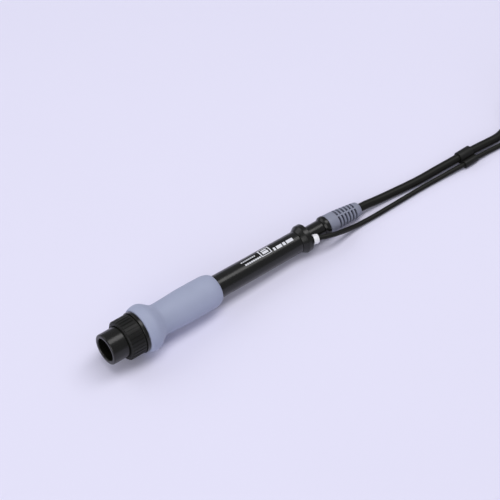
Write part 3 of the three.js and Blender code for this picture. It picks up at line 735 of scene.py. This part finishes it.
class HANDPIECE_OT_barrel(bpy.types.Operator):
    """Models the barrel, with its thread and its printed marks"""
    bl_idname = "handpiece.barrel"
    bl_label = "Barrel"

    def execute(self, context):
        sizes = context.scene.handpiece
        body = turned([
            (14.5, 8.65, 0.2), (14.5, 10.2, 0.15), (20.3, 10.2, 0.1), (20.3, 12.2, 0.0),
            (20.45, 12.35, 0.08), (22.1, 12.35, 0.15), (22.1, 10.3, 0.1), (33.0, 10.3, 0.2),
            (36.2, 8.6, 0.2), (71.5, 8.6, 0.1), (71.5, 6.92, 0.1), (134.5, 6.6, 0.12),
            (134.5, 5.4, 0.15), (62.0, 5.4, 0.2), (62.0, 6.9, 0.2), (24.3, 6.9, 0.3),
            (24.3, 8.65, 0.2)], 128)
        ridge = bmesh.new()
        tooth = [ridge.verts.new((15.0 + x, 0.0, r)) for x, r in
                 ((-0.55, 10.1), (-0.12, 10.5), (0.12, 10.5), (0.55, 10.1))]
        ridge.faces.new(tooth)
        turns, pitch, steps = 3.1, 1.5, 64
        bmesh.ops.spin(ridge, geom=ridge.faces[:], cent=(0, 0, 0), axis=(1, 0, 0),
                       dvec=(pitch / steps, 0, 0), angle=2 * math.pi * turns,
                       steps=int(steps * turns), use_merge=False)
        bmesh.ops.recalc_face_normals(ridge, faces=ridge.faces[:])
        thread = bpy.data.meshes.new("thread")
        ridge.to_mesh(thread)
        ridge.free()
        body.from_mesh(thread)
        bpy.data.meshes.remove(thread)
        piece("handle_barrel", body, TO_HANDLE, "handle", ["barrel"], ink_black())

        marks = bmesh.new()
        fine = [(94.8 + 1.3 * i, 95.75 + 1.3 * i, -15.5, -8.0) for i in range(8)]
        bold = [(96.0 + 1.42 * i, 97.1 + 1.42 * i, 6.5, 15.5) for i in range(8)]
        frame_of = [(107.6, 115.0, -31.0, -27.5), (107.6, 115.0, 13.0, 16.5),
                    (107.6, 108.3, -27.5, 13.0), (114.3, 115.0, -27.5, 13.0),
                    (109.3, 113.3, -21.0, -12.0), (109.3, 113.3, -8.0, 7.0)]
        blocks = [(116.4, 117.8, 1.0, 19.0), (118.6, 122.4, 1.0, 19.0),
                  (123.2, 125.0, 1.0, 19.0), (125.8, 130.4, 1.0, 19.0)]
        dashes(marks, fine + bold + frame_of + blocks)
        bmesh.ops.recalc_face_normals(marks, faces=marks.faces[:])
        for face in marks.faces:
            middle = face.calc_center_median()
            if face.normal.dot(Vector((0, middle.y, middle.z))) < 0:
                face.normal_flip()
        piece("printed_marks", marks, TO_HANDLE, "handle", [],
              ready(printing_ink, "white_ink", tuple(sizes.ink)))
        return {"FINISHED"}


class HANDPIECE_OT_grip(bpy.types.Operator):
    """Models the soft flared grip"""
    bl_idname = "handpiece.grip"
    bl_label = "Grip"

    def execute(self, context):
        sizes = context.scene.handpiece
        flare, held = sizes.flare_radius, sizes.grip_radius
        peak, waist, slim = 27.3, 36.6, held - 0.6
        front = [(peak - (peak - 22.4) * math.cos(a), 12.5 + (flare - 12.5) * math.sin(a), 0.0)
                 for a in (math.pi / 2 * i / 10 for i in range(1, 10))]
        back = [(peak + (waist - peak) * i / 18,
                 slim + (flare - slim) * (1 + math.cos(math.pi * i / 18)) / 2, 0.0)
                for i in range(19)]
        swell = [(waist + 20.0 * i / 8, slim + (held - slim) * (1 - math.cos(math.pi * i / 8)) / 2,
                  0.0) for i in range(1, 9)]
        grip = turned([
            (22.4, 10.6, 0.2), (22.4, 12.5, 0.25), *front, *back, *swell,
            (66.0, held - 0.05, 0.0),
            *[(68.5 + 7.0 * math.sin(a), 7.4 + (held - 7.5) * math.cos(a), 0.0)
              for a in (math.pi / 2 * i / 12 for i in range(13))],
            (75.5, 7.2, 0.05), (71.8, 7.2, 0.1), (71.8, 8.75, 0.1), (36.6, 8.75, 0.2),
            (33.4, 10.6, 0.2)], 128)
        piece("soft_grip", grip, TO_HANDLE, "handle", ["grip_sleeve"],
              grip_grey(), 60.0)
        return {"FINISHED"}


# ---------------------------------------------------------------- rear end

class HANDPIECE_OT_rear(bpy.types.Operator):
    """Models the rear flange, the gas fitting and its release ring"""
    bl_idname = "handpiece.rear"
    bl_label = "Rear flange and gas fitting"

    def execute(self, context):
        sizes = context.scene.handpiece
        cap = turned([
            (124.0, 2.6, 0.1), (124.0, 5.1, 0.3), (134.8, 5.1, 0.1), (134.8, 6.6, 0.12),
            (137.6, 8.35, 0.12), (137.9, 8.5, 0.08), (140.8, 8.5, 0.22), (140.8, 5.2, 0.5),
            (152.6, 5.2, 0.3), (152.6, 2.95, 0.2), (138.7, 2.95, 0.1), (138.7, 2.6, 0.1)], 96)
        onto = TO_HANDLE.inverted() @ TO_FITTING
        for tool in (turned([(-3.4, 0.0, 0.0), (-3.4, 2.5, 0.0), (1.0, 2.5, 0.0),
                             (1.0, 0.0, 0.0)], 40),
                     turned([(-0.05, 0.0, 0.0), (-0.05, 3.1, 0.3), (4.3, 3.1, 0.15),
                             (4.3, 0.0, 0.0)], 48)):
            bmesh.ops.transform(tool, matrix=onto, verts=tool.verts[:])
            cap = cut_away(cap, tool)
        piece("rear_flange", cap, TO_HANDLE, "handle", ["end_cap"], ink_black())

        fitting = turned([(-3.1, 1.0, 0.05), (-3.1, 2.2, 0.15), (0.5, 2.2, 0.15),
                          (0.5, 1.75, 0.05), (-1.8, 1.75, 0.05), (-1.8, 1.0, 0.05)], 48)
        piece("gas_fitting", fitting, TO_FITTING, "handle", ["hose_fitting"],
              satin_black())
        ring = turned([(0.8, 2.5, 0.05), (0.8, 2.9, 0.12), (3.0, 2.9, 0.1), (3.3, 2.75, 0.1),
                       (3.65, 2.75, 0.1), (4.1, 2.5, 0.18), (4.1, 1.8, 0.2), (1.7, 1.8, 0.05),
                       (1.7, 2.5, 0.05)], 72)
        piece("release_collar", ring, TO_FITTING, "release_body", ["release_ring"],
              ready(glossy_moulding, "white_moulding", tuple(sizes.ring_white),
                                     0.36))
        return {"FINISHED"}


class HANDPIECE_OT_relief(bpy.types.Operator):
    """Models the ribbed strain relief and the ring in front of it"""
    bl_idname = "handpiece.relief"
    bl_label = "Strain relief"

    def execute(self, context):
        gland = turned([(152.9, 2.95, 0.1), (152.9, 4.95, 0.2), (153.3, 5.35, 0.2),
                        (154.3, 6.25, 0.5), (156.3, 6.25, 0.25), (156.3, 2.95, 0.1)], 80)
        piece("gland_ring", gland, TO_HANDLE, "handle", ["cord_bushing"],
              ink_black())

        first, pitch, wide = 163.2, 2.53, 1.35
        front, back, tip = RELIEF_START, RELIEF_END, 180.0

        def outer(s):
            if s <= first:
                return 5.95 - 0.15 * (s - front) / (first - front)
            return 5.8 - 1.3 * (s - first) / (tip - first)

        stations = sorted({front + 0.4, 159.0, 161.5, tip - 0.35}
                          | {round(first + pitch * i + d, 4) for i in range(6)
                             for d in (-0.22, 0.0, wide, wide + 0.22)})
        skin = [(s, outer(s), 0.0) for s in stations]
        lining = [(s, 2.95, 0.0) for s in reversed(stations)]
        sides = 72
        relief = turned([
            (front, 2.95, 0.0), (front, 5.75, 0.0), *skin, (180.6, 4.3, 0.0), (181.15, 3.95, 0.0),
            (back, 3.5, 0.0), (back, 2.95, 0.0), *lining], sides)
        keep = math.radians(5.5)
        gone = []
        for face in relief.faces:
            middle = face.calc_center_median()
            reach = math.hypot(middle.y, middle.z)
            inside = reach < 3.2
            if not inside and reach < outer(middle.x) - 0.35:
                continue
            slot = (middle.x - first) % pitch < wide and first < middle.x < first + 6 * pitch - 1
            if not slot or abs(face.normal.x) > 0.9:
                continue
            angle = math.atan2(-middle.y, middle.z) - SPINE_ROLL
            off = abs((angle + math.pi / 2) % math.pi - math.pi / 2)
            if off > keep:
                gone.append(face)
        bmesh.ops.delete(relief, geom=gone, context="FACES")
        rims = [e for e in relief.edges if e.is_boundary]
        self.close(relief, rims)
        bmesh.ops.recalc_face_normals(relief, faces=relief.faces[:])
        for v in relief.verts:
            v.co.z -= relief_fall(v.co.x)
        piece("ribbed_relief", relief, TO_HANDLE, "handle", ["strain_relief"],
              relief_grey(), 40.0, 0.12)
        return {"FINISHED"}

    def close(self, bm, rims):
        """Walls each slot by joining its outer rim to its inner rim."""
        left = set(rims)
        loops = []
        while left:
            loop = [left.pop()]
            grown = True
            while grown:
                grown = False
                for v in loop[-1].verts:
                    for e in v.link_edges:
                        if e in left:
                            left.discard(e)
                            loop.append(e)
                            grown = True
                            break
                    if grown:
                        break
            loops.append(loop)
        slots = {}
        for loop in loops:
            middle = sum((v.co for e in loop for v in e.verts), Vector()) / (2 * len(loop))
            side = math.atan2(-middle.y, middle.z) - SPINE_ROLL
            slots.setdefault((round(middle.x, 1), math.sin(side) > 0), []).append(loop)
        for pair in slots.values():
            bmesh.ops.bridge_loops(bm, edges=[e for loop in pair for e in loop])


# ---------------------------------------------------------------- clip, ties, ends

class HANDPIECE_OT_clip(bpy.types.Operator):
    """Models the two-loop clip and the two straps round the hank"""
    bl_idname = "handpiece.clip"
    bl_label = "Clip and straps"

    def execute(self, context):
        big, small = (-5.3, 3.6, 3.6), (-10.75, 2.4, 2.4)
        clip = None
        for y, z, r in (big, small):
            loop = turned([(255.5, 0.0, 0.0), (255.5, r, 0.16), (265.0, r, 0.16),
                           (265.0, 0.0, 0.0)], 48)
            bmesh.ops.translate(loop, verts=loop.verts[:], vec=(0, y, z))
            clip = loop if clip is None else joined(clip, loop)
        for y, z, r in ((big[0], big[1], 2.72), (small[0], small[1], 1.62)):
            bore = turned([(250.0, 0.0, 0.0), (250.0, r, 0.0), (270.0, r, 0.0),
                           (270.0, 0.0, 0.0)], 48)
            bmesh.ops.translate(bore, verts=bore.verts[:], vec=(0, y, z))
            clip = cut_away(clip, bore)
        piece("two_loop_clip", clip, TO_ROOM, "handle", ["cord_clip"],
              satin_black(), 40.0)

        strap = ready(woven_strap, "strap", (0.02, 0.02, 0.022))
        for number, side in ((1, 1.0), (2, -1.0)):
            band = bmesh.new()
            near, far, top = 9.6, 18.7, 27.2
            corners = [(near - 0.3, 0.3), (far + 0.3, 0.3), (far + 0.3, top + 0.3),
                       (near - 0.3, top + 0.3)]
            verts = [band.verts.new((361.5, HANK_Y + side * y, z)) for y, z in corners]
            band.faces.new(verts)
            bmesh.ops.bevel(band, geom=band.verts[:], offset=1.6, offset_type="OFFSET",
                            segments=5, profile=0.5, affect="VERTICES", material=-1)
            bmesh.ops.delete(band, geom=band.faces[:], context="FACES_ONLY")
            grown = bmesh.ops.extrude_edge_only(band, edges=band.edges[:])
            moved = [g for g in grown["geom"] if isinstance(g, bmesh.types.BMVert)]
            bmesh.ops.translate(band, verts=moved, vec=(8.0, 0, 0))
            bmesh.ops.recalc_face_normals(band, faces=band.faces[:])
            bmesh.ops.solidify(band, geom=band.faces[:], thickness=0.5)
            bmesh.ops.recalc_face_normals(band, faces=band.faces[:])
            piece(f"hank_strap_{number}", band, TO_ROOM, "handle", [f"hank_tie_{number}"],
                  strap, 35.0)
        return {"FINISHED"}


PINS, PIN_CIRCLE = 6, 4.2
PLUG_FLUTES = 36


def on_pin_circle(bm, number):
    """Moves a pin or its hole from the plug's axis to its place round it."""
    turn = 2 * math.pi * number / PINS
    bmesh.ops.translate(bm, verts=bm.verts[:],
                        vec=(0, PIN_CIRCLE * math.cos(turn), PIN_CIRCLE * math.sin(turn)))
    return bm


class HANDPIECE_OT_ends(bpy.types.Operator):
    """Models the plug on the cable and the push-in stub on the hose"""
    bl_idname = "handpiece.ends"
    bl_label = "Plug and hose end"

    def execute(self, context):
        boot = turned([(0.0, 0.0, 0.0), (0.0, 3.5, 0.4), (3.0, 3.8, 0.3), (4.0, 3.6, 0.1),
                       (4.6, 3.6, 0.1), (5.0, 4.1, 0.15), (6.4, 4.5, 0.15), (6.8, 4.1, 0.1),
                       (7.4, 4.1, 0.1), (7.8, 4.8, 0.15), (9.2, 5.1, 0.15), (9.6, 4.7, 0.1),
                       (10.2, 4.8, 0.1), (10.6, 5.4, 0.15), (16.0, 6.4, 0.3), (16.0, 0.0, 0.0)])
        piece("plug_boot_sleeve", boot, TO_PLUG, "handle", ["plug_boot"],
              cord_black())
        at = 16.3       # where the shell starts, past its boot
        shell = turned([
            (at, 0.0, 0.0), (at, 7.2, 0.2), (at + 1, 8.6, 0.3), (at + 7.5, 8.6, 0.25),
            (at + 7.5, 7.6, 0.1), (at + 23, 7.6, 0.2), (at + 23, 6.9, 0.1), (at + 12, 6.9, 0.1),
            (at + 12, 0.0, 0.0)], 96)
        piece("plug_shell", shell, TO_PLUG, "handle", ["plug_body"], nickel())
        rows = [(at + 9.4 + 0.3 * i, 9.5, 0.0) for i in range(26)]
        ring = turned([
            (at + 7.8, 7.9, 0.1), (at + 7.8, 9.0, 0.2), (at + 8.5, 9.3, 0.15),
            (at + 8.9, 9.5, 0.0), *rows, (at + 18.6, 9.5, 0.0), (at + 19.2, 9.3, 0.15),
            (at + 20.0, 9.0, 0.2), (at + 20.0, 7.9, 0.1)], PLUG_FLUTES * STEPS_PER_FLUTE)
        flute(ring, PLUG_FLUTES, 9.5, 0.35, at + 9.4, at + 16.9, 0.42, 0.6)
        piece("plug_ring", ring, TO_PLUG, "plug_ring_body", ["plug_coupling"],
              nickel(), 50.0)
        disc = turned([(at + 12.3, 0.0, 0.0), (at + 12.3, 6.6, 0.1), (at + 16.3, 6.6, 0.3),
                       (at + 16.3, 0.0, 0.0)], 72)
        for i in range(PINS):
            hole = turned([(at + 13.3, 0.0, 0.0), (at + 13.3, 1.05, 0.0), (at + 17, 1.05, 0.0),
                           (at + 17, 0.0, 0.0)], 24)
            disc = cut_away(disc, on_pin_circle(hole, i))
        piece("plug_insulator", disc, TO_PLUG, "handle", ["plug_insert"],
              insulator())
        for i in range(PINS):
            pin = turned([(at + 13.6, 0.0, 0.0), (at + 13.6, 0.75, 0.0), (at + 21.5, 0.75, 0.35),
                          (at + 21.5, 0.0, 0.0)], 24)
            piece(f"contact_pin_{i + 1}", on_pin_circle(pin, i), TO_PLUG, "handle",
                  [f"plug_pin_{i + 1}"], brass())

        ferrule = turned([
            (0.0, 1.6, 0.0), (0.0, 2.35, 0.2), (1.6, 2.6, 0.1), (2.0, 2.3, 0.1), (2.8, 2.3, 0.1),
            (3.2, 2.6, 0.1), (4.4, 2.6, 0.1), (4.8, 2.3, 0.1), (5.6, 2.3, 0.1), (6.0, 2.6, 0.1),
            (7.5, 2.6, 0.2), (7.5, 1.6, 0.0)], 64)
        piece("crimp_ferrule", ferrule, TO_HOSE_END, "handle", ["hose_ferrule"],
              nickel())
        stub = turned([
            (9.0, 0.0, 0.0), (7.8, 0.0, 0.0), (7.8, 3.3, 0.2), (8.1, 3.46, 0.1),
            (12.5, 3.46, 0.1), (12.8, 3.3, 0.1), (12.8, 2.5, 0.1), (15.0, 2.5, 0.05),
            (15.2, 2.25, 0.05), (15.9, 2.25, 0.05), (16.1, 2.5, 0.05), (18.4, 2.5, 0.1),
            (18.8, 2.2, 0.05), (18.8, 1.2, 0.05), (9.0, 1.2, 0.1)], 72)
        for v in stub.verts:
            if 7.7 < v.co.x < 12.9 and math.hypot(v.co.y, v.co.z) > 3.2:
                turn = math.atan2(v.co.z, v.co.y) % (math.pi / 3) - math.pi / 6
                flat = 3.46 / math.cos(turn) / math.hypot(v.co.y, v.co.z)
                v.co.y *= flat
                v.co.z *= flat
        piece("push_in_stub", stub, TO_HOSE_END, "handle", ["hose_connector"], brass())
        return {"FINISHED"}


class HANDPIECE_OT_inside(bpy.types.Operator):
    """Finishes the pieces inside the handle, which keep their shape from the frame"""
    bl_idname = "handpiece.inside"
    bl_label = "Inside the handle"

    def execute(self, context):
        finishes = {
            "contact_block": insulator(),
            "contact_1": brass(), "contact_2": brass(), "contact_3": brass(),
            "terminal_board": ready(lacquered_board, "green_board", (0.02, 0.14, 0.06)),
            "sleep_sensor": nickel(),
            "lead_1": ready(cord_rubber, "red_wire", (0.38, 0.02, 0.015)),
            "lead_2": ready(cord_rubber, "blue_wire", (0.02, 0.06, 0.3)),
            "lead_3": ready(cord_rubber, "white_wire", (0.6, 0.6, 0.58)),
            "gas_tube": ready(satin_moulding, "clear_tube", (0.66, 0.66, 0.6), 0.35),
        }
        for name, material in finishes.items():
            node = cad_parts[name]
            for slot in node.material_slots:
                slot.material = material
        return {"FINISHED"}


class HANDPIECE_OT_declare(bpy.types.Operator):
    """Works out one point on the cable inside the strain relief, and keeps nothing"""
    bl_idname = "handpiece.declare"
    bl_label = "Cord facts"

    def execute(self, context):
        on_axis(165.0, relief_fall(165.0))
        return {"FINISHED"}


# ---------------------------------------------------------------- panel and running

STEPS = (HANDPIECE_OT_stage, HANDPIECE_OT_cords, HANDPIECE_OT_nose, HANDPIECE_OT_lock_ring,
         HANDPIECE_OT_barrel, HANDPIECE_OT_grip, HANDPIECE_OT_rear, HANDPIECE_OT_relief,
         HANDPIECE_OT_clip, HANDPIECE_OT_ends, HANDPIECE_OT_inside, HANDPIECE_OT_declare)


class HANDPIECE_PT_panel(bpy.types.Panel):
    """Lists the steps of the model"""
    bl_idname = "HANDPIECE_PT_panel"
    bl_label = "Soldering Handpiece"
    bl_space_type = "VIEW_3D"
    bl_region_type = "UI"
    bl_category = "Handpiece"

    def draw(self, context):
        for name in HandpieceSettings.__annotations__:
            self.layout.prop(context.scene.handpiece, name)
        for step in STEPS:
            self.layout.operator(step.bl_idname)


CLASSES = (HandpieceSettings, *STEPS, HANDPIECE_PT_panel)


def register():
    for one in CLASSES:
        bpy.utils.register_class(one)
    bpy.types.Scene.handpiece = bpy.props.PointerProperty(type=HandpieceSettings)


def unregister():
    del bpy.types.Scene.handpiece
    for one in reversed(CLASSES):
        bpy.utils.unregister_class(one)


def main():
    register()
    for step in STEPS:
        group, name = step.bl_idname.split(".")
        getattr(getattr(bpy.ops, group), name)()
    bpy.context.view_layer.update()


if __name__ == "__main__":
    main()
